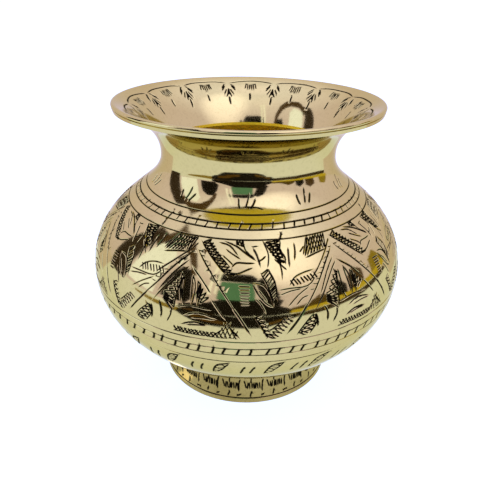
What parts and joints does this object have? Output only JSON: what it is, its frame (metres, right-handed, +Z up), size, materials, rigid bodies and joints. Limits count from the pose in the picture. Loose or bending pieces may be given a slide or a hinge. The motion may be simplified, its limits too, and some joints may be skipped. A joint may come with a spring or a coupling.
{
  "type": "kalash water pot",
  "caption": "Round-bellied brass water pot with a waisted neck, a wide flared mouth, a thick turned lip and a low foot ring, engraved all over with chevrons, leaves and tick bands.",
  "frame": {"origin": "middle of the foot ring's underside, on the surface that the pot stands on", "axes": "+Z up along the pot's axis of revolution; the side that faces -Y is the front"},
  "size_m": [0.1244, 0.1244, 0.1152],
  "materials": {
    "polished_brass": "hand-polished yellow brass with dark wax left in the engraved lines",
    "foot_brass": "yellow brass, a little duller and browner than the body",
    "braze": "unpolished filler brass inside the seams"
  },
  "bodies": {
    "root": {"mouth_collar": "polished_brass", "upper_body": "polished_brass", "lower_body": "polished_brass", "foot_ring": "foot_brass", "neck_braze": "braze", "belly_braze": "braze", "foot_braze": "braze"}
  },
  "joints": []
}
